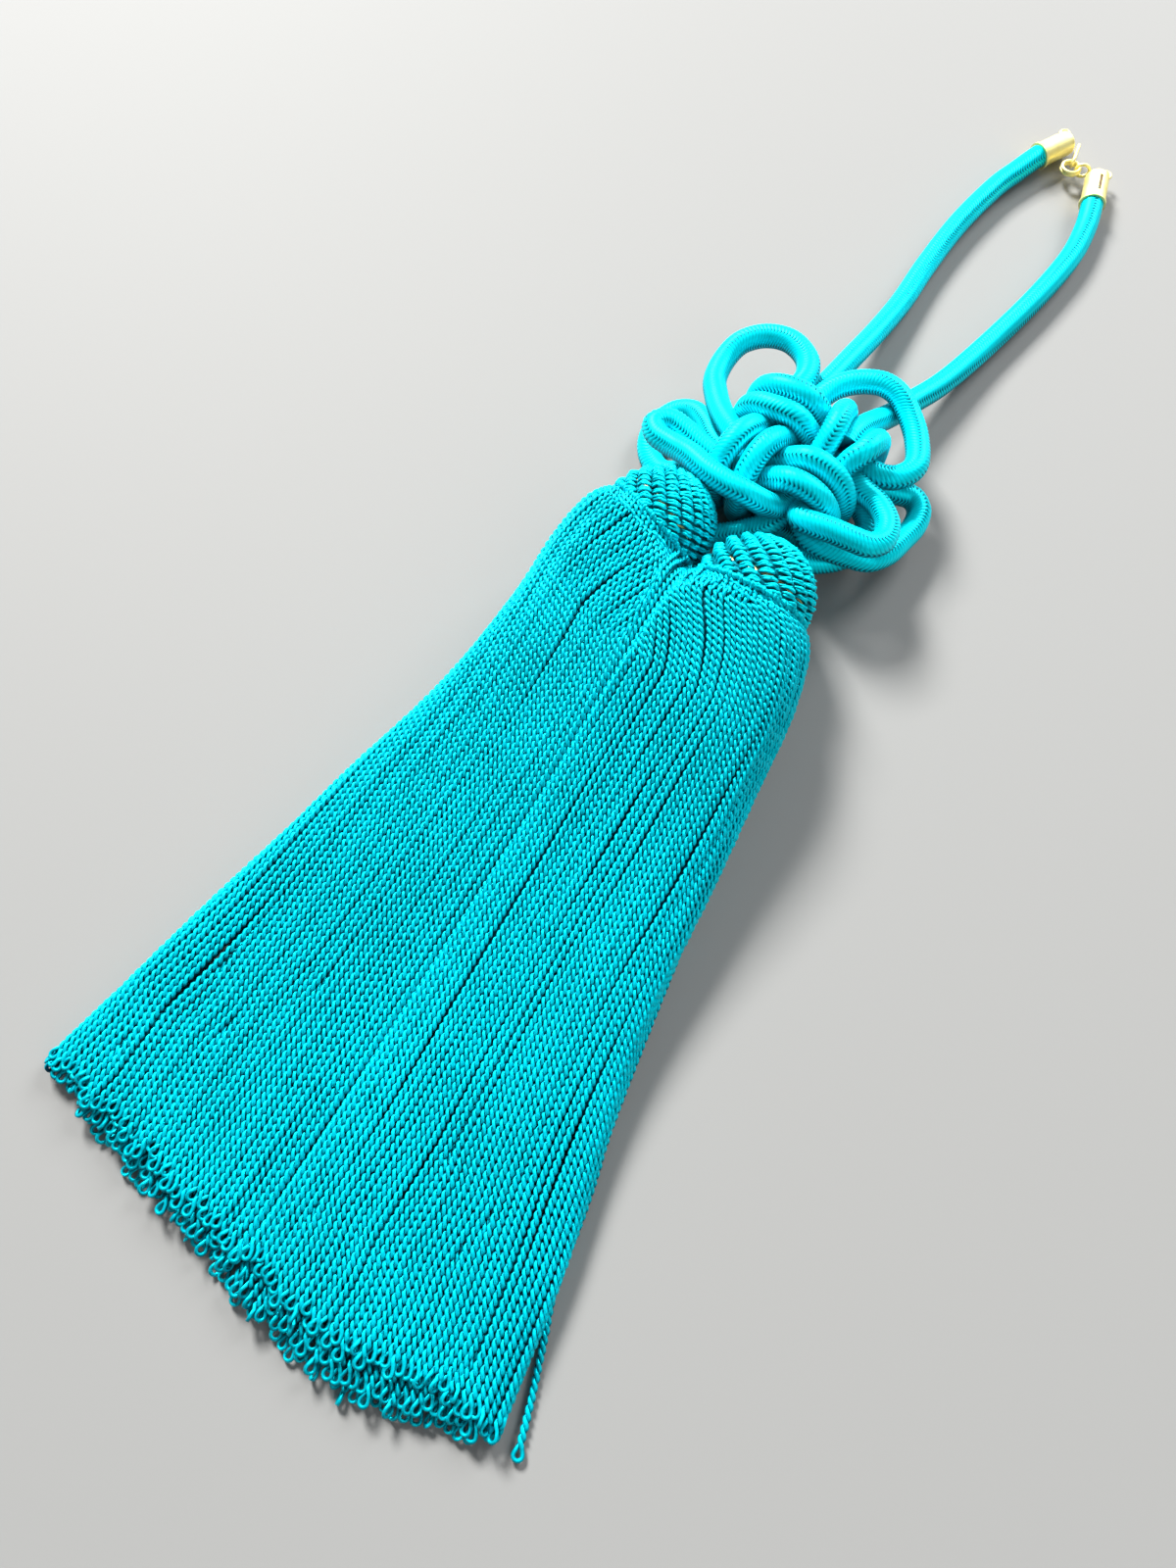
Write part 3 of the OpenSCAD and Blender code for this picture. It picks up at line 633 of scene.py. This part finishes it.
# Painted light on the loops: how bright a loop's colour is painted at least, and what facing outwards and
# lying high add, so that the thread is painted in shade where it faces into the net and lies low
net_painted_shade, outward_painted_light, lift_painted_light = 0.2, 0.8, 0.35
# Each head's ridges lean this much from straight up, and their loops are drawn askew by this share. A ridge
# is followed between these heights, as angles, and its loops begin a little below the rim.
ridges = 14
ridge_ways = {"left": (math.radians(56), 0.32), "right": (math.radians(51), 0.52)}
ridge_foot, ridge_top, loops_from = -0.45, 1.2, -0.01
# Now and then a loop is left out between these heights over the rim
open_from, open_to, open_chance = 0.12, 0.3, 0.06
# The rim's two twisted threads waver up and down, and in and out, as often as loops hang from them
rim_waves, rim_waver, rim_heave, rim_depth = 29, 0.018, 0.25, 0.75
# The rim threads' thickness and spread, and the one painted-shade level they are all coloured at
rim_thread, rim_apart, rim_painted_shade = 0.00042, 0.0004, 0.6
for side, head in heads.items():
    chance = np.random.default_rng(len(side))
    ridge_lean, skew = ridge_ways[side]
    radius = head["radius"]
    lines, outs, lifts = [], [], []
    for ridge in range(ridges):
        turn, rise = ridge / ridges * 2 * math.pi, ridge_foot
        while rise < ridge_top:
            size = max(math.cos(rise), least_size)
            above = rise - rim_of(head, turn)
            open_place = open_from < above < open_to and chance.random() < open_chance
            if above > loops_from and not open_place:
                uneven = chance.normal(0, hand_error, (len(loop), 3))
                uneven = (uneven + np.roll(uneven, 1, axis=0)) / 1.4
                across, along, up = (loop + uneven).T
                along = along - skew * across
                sideways = math.sin(ridge_lean) * along - math.cos(ridge_lean) * across
                upwards = math.sin(ridge_lean) * across + math.cos(ridge_lean) * along
                turns = turn + sideways / radius
                rises = rise + size * upwards / radius
                lines.append(on_head(head, turns, rises, up - loop_depth))
                outs.append(unit(on_head(head, turns, rises, up) - lines[-1]))
                lifts.append(up)
            step = loop_pitch * size / radius
            turn += math.sin(ridge_lean) * step / size
            rise += math.cos(ridge_lean) * step
    threads = placed(np.array(lines))
    points, faces = tubes(threads, net_thread, net_sides)
    around = (points.reshape(len(lines), -1, net_sides, 3) - threads[:, :, None]) / net_thread
    outward = (around * np.array(outs)[:, :, None]).sum(-1)
    # Painted shade where a loop's thread faces into the net or lies low
    tone = net_painted_shade + outward_painted_light * outward + lift_painted_light * np.array(lifts)[..., None]
    painted_light = tone.clip(0, 1).ravel()
    net = finished("net_" + side + "_loops", points, faces, painted_light, net_silk)
    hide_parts("net_" + side)

    turn = np.linspace(0, 2 * np.pi, rim_waves * 12)
    wave = rim_waves * turn
    rise = rim_of(head, turn) + rim_waver * np.sin(wave)
    edge = placed(on_head(head, turn, rise, rim_heave * np.cos(wave) - rim_depth))[None]
    _, up, across = ways(edge)
    arm = rim_apart * (np.cos(2 * wave)[:, None] * up + np.sin(2 * wave)[:, None] * across)
    points, faces = tubes(np.concatenate([edge + arm, edge - arm]), rim_thread, 5)
    painted_light = np.full(len(points), rim_painted_shade)
    finished("net_" + side + "_rim_cord", points, faces, painted_light, net_silk)


# The fringes
# Each strand is one thin silk cord folded in the middle and twisted with itself, so that it ends in a small
# open loop. The strands hang from the head's rim all round it, and lie flattened on the table.
silk_fringe = thread_finish("silk_fringe", deep=(0.0, 0.05, 0.10), bright=(0.0, 0.61, 0.74),
                            rough=0.36, glow=0.1)
# The rows of each fringe, from the rim down: outer x, outer y, inner x, inner y, height, roundness of its
# outer side, roundness of its inner side, how far the row leans back, how far it bows down
left_rows = np.array([
    (-24.5, 182.0, 0.3, 172.6, 28.2, 1.00, 1.00, 4.6, 0),
    (-27.7, 179.2, 0.3, 169.6, 28.7, 0.92, 0.86, 4.2, 0),
    (-29.8, 173.0, 0.4, 163.4, 28.3, 0.82, 0.52, 3.0, 0),
    (-30.8, 161.3, 0.75, 151.5, 26.8, 0.72, 0.26, 1.6, 0),
    (-31.0, 143.4, 1.0, 134.0, 22.8, 0.62, 0.18, 0.6, 0),
    (-34.0, 118.0, 1.2, 111.0, 17.4, 0.55, 0.16, 0, 0),
    (-40.6, 90.8, 1.2, 84.0, 12.6, 0.48, 0.16, 0, 0),
    (-47.0, 60.8, 1.2, 54.0, 9.0, 0.44, 0.18, 0, 0),
    (-52.4, 32.6, 1.2, 24.0, 7.0, 0.40, 0.20, 0, 0.5),
    (-57.2, 7.2, 1.2, -7.4, 5.5, 0.40, 0.25, 0, 1)])
right_rows = np.array([
    (30.6, 172.5, 2.5, 172.5, 28.6, 1.00, 1.00, 4.8, 0),
    (33.8, 169.4, 1.7, 169.2, 29.0, 0.92, 0.86, 4.4, 0),
    (36.8, 162.6, 1.6, 163.2, 28.6, 0.82, 0.52, 3.2, 0),
    (39.4, 150.6, 1.6, 151.4, 27.0, 0.72, 0.26, 1.6, 0),
    (41.2, 131.0, 1.6, 134.0, 22.8, 0.62, 0.18, 0.6, 0),
    (43.8, 108.0, 1.6, 111.0, 17.4, 0.55, 0.16, 0, 0),
    (46.2, 82.0, 1.6, 84.0, 12.6, 0.48, 0.16, 0, 0),
    (51.0, 54.6, 1.6, 54.0, 9.0, 0.44, 0.18, 0, 0.5),
    (57.4, 27.4, 1.6, 24.0, 7.0, 0.40, 0.20, 0, 3.5),
    (62.0, -0.8, 1.6, -7.8, 5.5, 0.40, 0.25, 0, 7.5)])
row_steps = 12
# How high the heads' middles lie, where a leaning row neither leans back nor forward
head_z = 15
# How high a section is widest, and how its underside sinks, as shares: when square, and what roundness adds
widest_flat, widest_round = 0.24, 0.275
under_flat, under_round = 2.1, -1.12
# A section's corners get squarer by this share, from this row on and over so many rows
square_share, square_from, square_over = 0.75, 0.8, 1.4
# A strand's two plies, in millimetres: how thick, how far off its middle, how long a turn. Then how much
# looser they are at the hem, as a share.
ply_radius, ply_apart, turn_length = 0.42, 0.42, 3.4
loosened = 0.12
# Rings in a turn and sides of a ply, where strands show and where they lie on the table
top_rings, top_sides = 6, 4
low_rings, low_sides = 4, 3
# The end loop's thread, ahead of the strand's end and to its side
loop_ahead, loop_radius = 1.3, 0.93
loop_arc = np.radians(np.linspace(118, -118, 9))
loop_shape = np.column_stack([loop_ahead + loop_radius * np.cos(loop_arc), loop_radius * np.sin(loop_arc)])
# Painted light on a ply: how bright its colour is painted at least, and what facing out of the fringe and
# lying over the other ply add, so that the twist's grooves and the fringe's inside are painted in shade
ply_painted_shade, facing_painted_light, over_painted_light = 0.22, 0.5, 0.58
# Where strands go in under the net: how far up from the rim, and how far in
tucks = ((2.9, 2.6), (2.0, 1.5), (1.0, 0.5))
# A strand without room lies this much deeper. Each one lies unevenly, and in waves, by so much.
room_sink, uneven_sink, wave_sink = 1.6, 0.3, 0.16


def power(x, e):
    """x to the power e, with its own sign"""
    return np.sign(x) * np.abs(x) ** e


def fringe_skin(rows, upper):
    """The fringe's upper or lower face: how far down each row lies, points across it, the way out of it, and
    how much of it shows, where 0 is the flank that lies against the other fringe"""
    fine = smooth(rows, row_steps)
    level = np.linspace(0, len(rows) - 1, len(fine))
    turn = np.radians(np.linspace(180, 0 if upper else 360, 97))
    out_x, out_y, in_x, in_y, high, soft_out, soft_in, lean, bow = [fine[:, k, None] for k in range(9)]
    squared = 1 - square_share * np.clip((level[:, None] - square_from) / square_over, 0, 1)
    soft = np.where(np.cos(turn) > 0, soft_in * squared, soft_out)
    s = (1 + power(np.cos(turn), soft)) / 2
    lift = power(np.sin(turn), soft)
    middle = high * (widest_flat + widest_round * soft)
    under = np.maximum(0, middle * (1 + (under_flat + under_round * soft) * lift))
    z = middle + (high - middle) * lift if upper else under
    across = unit(fine[:, 2:4] - fine[:, 0:2])
    back = np.column_stack([across[:, 1], -across[:, 0]])
    back *= -np.sign(back[:, 1:])
    push = lean * (z / head_z - 1)
    x = out_x + (in_x - out_x) * s + push * back[:, 0:1]
    y = out_y + (in_y - out_y) * s + push * back[:, 1:2] - bow * 4 * s * (1 - s)
    skin = np.stack([x, y, z], axis=-1)
    step = np.gradient(skin, axis=1)
    go = (step[..., :2] * across[:, None]).sum(-1)
    rise = step[..., 2]
    size = np.hypot(go, rise) + 1e-9
    sign = 1 if upper else -1
    sideways = (-sign * rise / size)[..., None] * across[:, None]
    out = np.concatenate([sideways, (sign * go / size)[..., None]], axis=-1)
    hidden = np.clip((level[:, None] - 1) / 2.5, 0, 1) * ((s > 0.5) & (np.abs(out[..., 2]) < 0.35))
    return level, skin, out, 1 - hidden


def skirt_lines(rows, upper, deep, spacing, partings, chance):
    """Middle lines of strands an even spacing apart and so deep under the fringe's upper or lower face, with
    some partings, and with the way out of the face. Then where each ends across the hem, and how far down
    the fringe it comes up among the others."""
    level, skin, out, seen = fringe_skin(rows, upper)
    step = np.linalg.norm(np.diff(skin, axis=1), axis=2) * (seen[:, 1:] + seen[:, :-1]) / 2 + 1e-6
    run = np.concatenate([np.zeros((len(level), 1)), np.cumsum(step, axis=1)], axis=1)
    fit = np.maximum.accumulate(run[:, -1]) / spacing
    count, from_rim = int(fit[-1]), int(fit[0])
    # The fringe widens, and strands from underneath find room in it, one here and one there
    room = np.ones((len(level), count))
    rise_at = np.zeros(count)
    for k, n in enumerate(chance.permutation(np.arange(1, count - 1))[:count - from_rim]):
        room[:, n] = np.clip(fit - from_rim - k, 0, 1)
        rise_at[n] = level[np.argmax(room[:, n] > 0)]
    gap = np.zeros((len(level), count))
    for _ in range(partings):
        beside, widest = chance.integers(2, count), chance.uniform(0.15, 0.5)
        at, reach = chance.uniform(1.5, 8.5), chance.uniform(0.5, 1.6)
        gap[:, beside] += widest * np.exp(-((level - at) / reach) ** 2)
    width = room * chance.uniform(0.9, 1.1, count)
    share = (np.cumsum(width + gap, axis=1) - width / 2) / (width + gap).sum(axis=1, keepdims=True)
    sunk = deep + room_sink * (1 - room * room * (3 - 2 * room)) + chance.uniform(0, uneven_sink, count)
    waves = level[:, None] * chance.uniform(1.2, 2.6, count) + chance.uniform(0, 6.28, count)
    sunk += wave_sink * np.sin(waves)
    lines = np.empty((count, len(level), 3))
    outward = np.empty((count, len(level), 3))
    for n in range(len(level)):
        at = share[n] * run[n, -1]
        for k in range(3):
            outward[:, n, k] = np.interp(at, run[n], out[n, :, k])
            lines[:, n, k] = np.interp(at, run[n], skin[n, :, k]) - sunk[n] * outward[:, n, k]
    ahead = unit(lines[:, 0] - lines[:, 4])
    tucked = [lines[:, 0] + on * ahead - sink * outward[:, 0] for on, sink in tucks]
    lines = np.concatenate([np.stack(tucked, axis=1), lines], axis=1)
    outward = np.concatenate([np.repeat(outward[:, :1], len(tucks), axis=1), outward], axis=1)
    return np.concatenate([lines, outward], axis=2), share[-1], rise_at


def mostly(count, spread, odd_share, odd, chance, usual=0):
    """Angles that scatter about the usual one, but for a few odd ones that are larger"""
    return chance.normal(usual, spread, count) + np.where(chance.random(count) < odd_share, odd, 0)


def drift_of(count, chance):
    """Where in its turn each of a row of strands starts. Neighbours settle ply in groove, so it changes
    little from one to the next, but for a few that lie as they fell."""
    return np.cumsum(mostly(count, 0.3, 0.1, 1.2, chance, usual=0.12))


def twisted(lines, starts, ends, rings_a_turn, sides, drift, chance):
    """Twisted strands with end loops along lines. Each begins at starts and is cut about ends short, in
    millimetres, where its loop comes to lie nearly flat. A line's last three columns are the way out of the
    fringe."""
    count = len(lines)
    whole = np.array([length_of(line[:, :3]) for line in lines])
    flat_at = (drift - mostly(count, 0.4, 0.12, 1.3, chance)) / np.pi
    half_turns = np.round((whole - ends) / (turn_length / 2) - flat_at - 0.5)
    stops = (half_turns + flat_at + 0.5) * turn_length / 2
    rings = round(np.mean(stops - starts) / turn_length * rings_a_turn)
    middle = np.empty((count, rings, 6))
    for n, line in enumerate(lines):
        fine = even(line, 900)
        at = np.linspace(starts[n], min(stops[n], whole[n]), rings) / whole[n] * (len(fine) - 1)
        middle[n] = np.column_stack([np.interp(at, np.arange(len(fine)), column) for column in fine.T])
    middle, outward = middle[..., :3], middle[..., 3:]
    middle[..., 2] = np.maximum(middle[..., 2], (ply_radius + ply_apart) * (1 + loosened))
    ahead = unit(np.gradient(middle, axis=-2))
    up = unit(outward - (outward * ahead).sum(-1, keepdims=True) * ahead)
    side = np.cross(ahead, up)
    run = np.linspace(starts, stops, rings, axis=1)
    angle = drift[:, None] - run / turn_length * 2 * np.pi
    arm = np.cos(angle)[..., None] * up + np.sin(angle)[..., None] * side
    swell = (1 + loosened * (run / run.max()) ** 2)[..., None]
    on, beside = loop_shape[:, :1], loop_shape[:, 1:]
    tip = middle[:, -1:] + on * ahead[:, -1:] + beside * arm[:, -1:]
    tip[..., 2] = np.maximum(tip[..., 2], ply_radius * (1 + loosened))

    def along_thread(forth, back, loop=None):
        """Values down one ply, round the loop and up the other ply"""
        if loop is None:
            loop = np.repeat(forth[:, -1:], len(loop_shape), axis=1)
        return np.concatenate([forth, loop, back[:, ::-1]], axis=1)

    path = along_thread(middle + ply_apart * swell * arm, middle - ply_apart * swell * arm, tip)
    thick = ply_radius / 1000 * along_thread(swell, swell)
    points, faces = tubes(placed(path), thick[..., None], sides)
    out = along_thread(outward, outward)
    around = unit(points.reshape(*path.shape[:2], sides, 3) - placed(path)[:, :, None])
    facing = (around * out[:, :, None]).sum(-1)
    over = ((path - along_thread(middle, middle, tip)) * out).sum(-1) / ply_apart
    # Painted shade in the twist's grooves and on the plies' inner sides
    painted_light = ply_painted_shade + facing_painted_light * facing + over_painted_light * over[..., None]
    return points, faces, painted_light.clip(0, 1).ravel()


def end_share(painted_light, count):
    """The painted-light values of count strands, a row for each, and how near each place is to the end loop
    """
    rows = painted_light.reshape(count, -1)
    return rows, 1 - np.abs(np.linspace(-1, 1, rows.shape[1]))


def hung(name, bundles):
    """One piece of the fringe from bundles of strands"""
    points, faces, painted_light = [], [], []
    count = 0
    for some_points, some_faces, some_painted_light in bundles:
        points.append(some_points)
        faces += [[corner + count for corner in face] for face in some_faces]
        painted_light.append(some_painted_light)
        count += len(some_points)
    painted_light = np.concatenate(painted_light)
    return finished(name, np.concatenate(points), faces, painted_light, silk_fringe)


# How far short of the hem the upper strands end, across each fringe from its outer edge to its inner one
hem_places = (0, 0.15, 0.3, 0.8, 1)
hems = {"left": (0, 1, 3.5, 5, 6), "right": (0.5, 3, 7, 7, 6)}


def ends_of(side, places, share, uneven, chance):
    """How far short of the hem a layer's strands end: a share of what the upper ones do, and unevenly"""
    return share * np.interp(places, hem_places, hems[side]) + chance.uniform(0, uneven, len(places))


# How deep under the skin the strands of each layer lie, and how far apart
upper_deep, upper_spacing, upper_partings = 0.84, 1.51, 18
bed_deep, bed_spacing = 2.4, 1.6
second_deep, second_spacing = 2.3, 1.7
lower_deep, lower_spacing = 0.87, 2.12
# A strand from underneath starts this many rows before it finds room
rise_early = 0.6
# The bed's thin tubes, their sides and rings, and the low painted-shade level they are coloured at, for the
# shade under the upper strands
bed_radius, bed_sides, bed_rings, bed_painted_shade = 0.0008, 5, 20, 0.12
# Only the last stretch of the second layer is made, from here on. Its colour is darkened as painted shade but
# for its ends.
second_from, second_painted_shade = 157, 0.55
# How bright the lower layer's ends are painted, as painted light from the table
lower_end_painted_light = 0.75
for side, rows, seed in (("left", left_rows, 11), ("right", right_rows, 23)):
    chance = np.random.default_rng(seed)
    lines, places, rise_at = skirt_lines(rows, True, upper_deep, upper_spacing, upper_partings, chance)
    drift = drift_of(len(lines), chance)
    ends = ends_of(side, places, 1, 3.5, chance)
    early = rise_at == 0
    half_way = np.cumsum(early) <= early.sum() / 2
    for part, some in zip("ab", (early & half_way, early & ~half_way)):
        starts = np.zeros(some.sum())
        bundle = twisted(lines[some], starts, ends[some], top_rings, top_sides, drift[some], chance)
        strands = hung("fringe_" + side + "_upper_" + part, [bundle])
        if part == "a":
            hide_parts("skirt_" + side)
    risen = []
    for n in np.flatnonzero(~early):
        down = max(round((rise_at[n] - rise_early) * row_steps), 0) + len(tucks)
        starts = np.array([length_of(lines[n, :down, :3])])
        one = slice(n, n + 1)
        risen.append(twisted(lines[one], starts, ends[one], top_rings, top_sides, drift[one], chance))
    hung("fringe_" + side + "_risen", risen)

    lines, _, _ = skirt_lines(rows, True, bed_deep, bed_spacing, 0, chance)
    bed = placed(np.stack([even(line[:-2 * row_steps, :3], bed_rings) for line in lines]))
    points, faces = tubes(bed, bed_radius, bed_sides)
    hung("fringe_" + side + "_bed", [(points, faces, np.full(len(points), bed_painted_shade))])

    lines, places, _ = skirt_lines(rows, True, second_deep, second_spacing, 0, chance)
    ends = ends_of(side, places, 0.3, 3, chance)
    drift = drift_of(len(lines), chance)
    starts = np.full(len(lines), second_from)
    points, faces, painted_light = twisted(lines, starts, ends, top_rings, top_sides, drift, chance)
    painted_light, near_end = end_share(painted_light, len(lines))
    # Painted shade along the second layer, fading out at its end loops
    painted_light = painted_light * (second_painted_shade + (1 - second_painted_shade) * near_end ** 8)
    hung("fringe_" + side + "_second", [(points, faces, painted_light.ravel())])

    lines, places, _ = skirt_lines(rows, False, lower_deep, lower_spacing, 0, chance)
    ends = ends_of(side, places, 0.05, 3, chance)
    drift = drift_of(len(lines), chance)
    starts = np.zeros(len(lines))
    points, faces, painted_light = twisted(lines, starts, ends, low_rings, low_sides, drift, chance)
    painted_light, near_end = end_share(painted_light, len(lines))
    # Painted light at the lower layer's end loops
    painted_light = painted_light + (lower_end_painted_light - painted_light).clip(0, 1) * near_end ** 20
    hung("fringe_" + side + "_lower", [(points, faces, painted_light.ravel())])

# Strands that lie over the place where the two fringes meet, and sink in between the heads: how far each lies
# to the side of middle_x, how far its first three rows sink, and how far the fifth and later ones
middle_x, middle_deep = 1.4, 1.3
lanes = ((0.7, (11, 9, 2.2), 0), (2.1, (8.0, 6.6, 1.0), 1.1), (3.4, (5.8, 5.0, 0.5), 1.9))
chance = np.random.default_rng(5)
middle_lines = []
for beside, sunk, under in [(-beside, *rest) for beside, *rest in lanes[::-1]] + list(lanes):
    x = middle_x + beside + chance.normal(0, 0.2, len(left_rows))
    z = left_rows[:, 4] - middle_deep
    z[:3] -= sunk
    z[4:] -= under
    out = np.tile([0, 0, 1], (len(z), 1))
    middle_lines.append(smooth(np.column_stack([x, left_rows[:, 3], z, out]), row_steps))
count = len(middle_lines)
ends = chance.uniform(4, 9, count)
drift = drift_of(count, chance)
bundle = twisted(np.array(middle_lines), np.zeros(count), ends, top_rings, top_sides, drift, chance)
hung("fringe_middle", [bundle])

# One strand that strays from the right fringe's outer edge
stray = smooth([(43.0, 100, 6), (46.4, 78, 4.2), (50.0, 57, 2.6), (52.6, 46.5, 1.4), (54.6, 37.0, 0.9),
                (56.2, 26.5, 0.9), (59.9, 16.2, 0.9), (63.4, 6.2, 0.9), (65.8, -1.4, 0.9)], row_steps)
stray = np.column_stack([stray, np.tile([0, 0, 1], (len(stray), 1))])
none = np.zeros(1)
hung("fringe_right_stray", [twisted(stray[None], none, none, top_rings, 5, none, chance)])


# The scene is brought up to date
bpy.context.view_layer.update()
